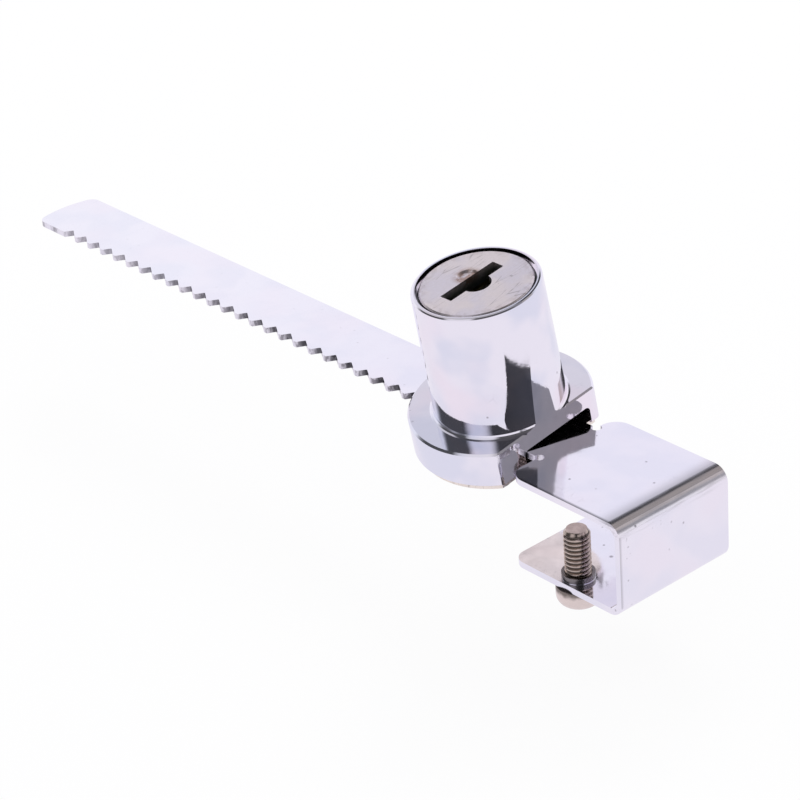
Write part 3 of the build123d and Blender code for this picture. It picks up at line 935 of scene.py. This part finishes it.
def paper_floor(colour, low):
    """White paper that keeps a faint shadow."""
    width, evenness = 6, 0.9
    deselect()
    bpy.ops.mesh.primitive_plane_add(size=width, location=(0, 0, low))
    floor = bpy.context.object
    floor.name = "paper_floor"
    settle(floor)
    material, s = new_material("white_paper")
    fibre = s.noise(0.0008, detail=3)
    skin = s.node(
        "ShaderNodeBsdfPrincipled",
        {},
        {"Base Color": s.mix(fibre, shade(colour, 0.90), shade(colour, 0.94)), "Roughness": 0.9},
    )
    camera = s.ray("Camera")
    glow = s.mix(camera, (0.885, 0.855, 0.93), (1.0, 1.0, 1.0))
    plain = s.node("ShaderNodeEmission", {}, {"Color": glow, "Strength": 1.0})
    seen = camera.larger(s.ray("Glossy")).larger(s.ray("Transmission"))
    both = s.node("ShaderNodeMixShader", {}, {0: seen * evenness, 1: skin, 2: plain})
    s.node("ShaderNodeOutputMaterial", {}, {"Surface": both})
    floor.data.materials.append(material)
    floor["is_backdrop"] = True


def soft_lamp(name, place, aim, size, power):
    """Square softbox that looks at aim."""
    deselect()
    bpy.ops.object.light_add(type="AREA", location=place)
    lamp = bpy.context.object
    lamp.name = name
    lamp.data.shape = "SQUARE"
    lamp.data.size = size
    lamp.data.energy = power
    lamp.visible_glossy = False
    lamp.rotation_euler = (Vector(aim) - Vector(place)).to_track_quat("-Z", "Y").to_euler()


class LOCK_OT_set_stage(bpy.types.Operator):
    """Sets the camera, the white paper and the soft light"""

    bl_idname = "ratchet_lock.set_stage"
    bl_label = "Set Stage"

    def execute(self, context):
        studio = context.scene.lock_studio
        target = Vector(studio.target)
        back = toward(studio.azimuth, studio.elevation)
        deselect()
        bpy.ops.object.camera_add(location=target + back * studio.distance)
        camera = bpy.context.object
        right = (-back).cross(Vector((0, 0, 1))).normalized()
        up = right.cross(-back)
        across = right * cos(studio.roll) + up * sin(studio.roll)
        upward = up * cos(studio.roll) - right * sin(studio.roll)
        camera.rotation_euler = Matrix((across, upward, back)).transposed().to_euler()
        camera.data.lens = studio.lens
        camera.data.sensor_width = 36
        camera.data.clip_start = 0.01
        context.scene.camera = camera
        context.scene.view_settings.view_transform = "Standard"
        paper_floor(tuple(studio.backdrop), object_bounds()[0].z - studio.floor_gap)
        studio_world(tuple(studio.glow))
        soft_lamp("back_softbox", place=(-0.5, 0.7, 0.9), aim=(-0.05, 0, 0), size=0.5, power=3.0)
        return {"FINISHED"}


class LOCK_PT_panel(bpy.types.Panel):
    """Steps that dress the lock, with their sizes and colours"""

    bl_idname = "LOCK_PT_panel"
    bl_label = "Ratchet Lock"
    bl_space_type = "VIEW_3D"
    bl_region_type = "UI"
    bl_category = "Ratchet Lock"

    def draw(self, context):
        layout = self.layout
        for group, steps in (
            ("lock_screws", [LOCK_OT_turn_screws]),
            ("lock_finishes", [LOCK_OT_finish_chrome, LOCK_OT_finish_plug, LOCK_OT_finish_works]),
            ("lock_studio", [LOCK_OT_set_stage]),
        ):
            settings = getattr(context.scene, group)
            column = layout.column(align=True)
            for key in settings.__annotations__:
                column.prop(settings, key)
            for step in steps:
                column.operator(step.bl_idname)


CLASSES = (
    ScrewSizes,
    Finishes,
    StudioSettings,
    LOCK_OT_finish_chrome,
    LOCK_OT_finish_plug,
    LOCK_OT_finish_works,
    LOCK_OT_turn_screws,
    LOCK_OT_set_stage,
    LOCK_PT_panel,
)


def register():
    for cls in CLASSES:
        bpy.utils.register_class(cls)
    bpy.types.Scene.lock_screws = PointerProperty(type=ScrewSizes)
    bpy.types.Scene.lock_finishes = PointerProperty(type=Finishes)
    bpy.types.Scene.lock_studio = PointerProperty(type=StudioSettings)


def unregister():
    del bpy.types.Scene.lock_studio
    del bpy.types.Scene.lock_finishes
    del bpy.types.Scene.lock_screws
    for cls in reversed(CLASSES):
        bpy.utils.unregister_class(cls)


def main():
    """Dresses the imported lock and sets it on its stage."""
    register()
    bpy.ops.ratchet_lock.finish_chrome()
    bpy.ops.ratchet_lock.finish_plug()
    bpy.ops.ratchet_lock.finish_works()
    bpy.ops.ratchet_lock.turn_screws()
    bpy.ops.ratchet_lock.set_stage()
    deselect()


if __name__ == "__main__":
    main()
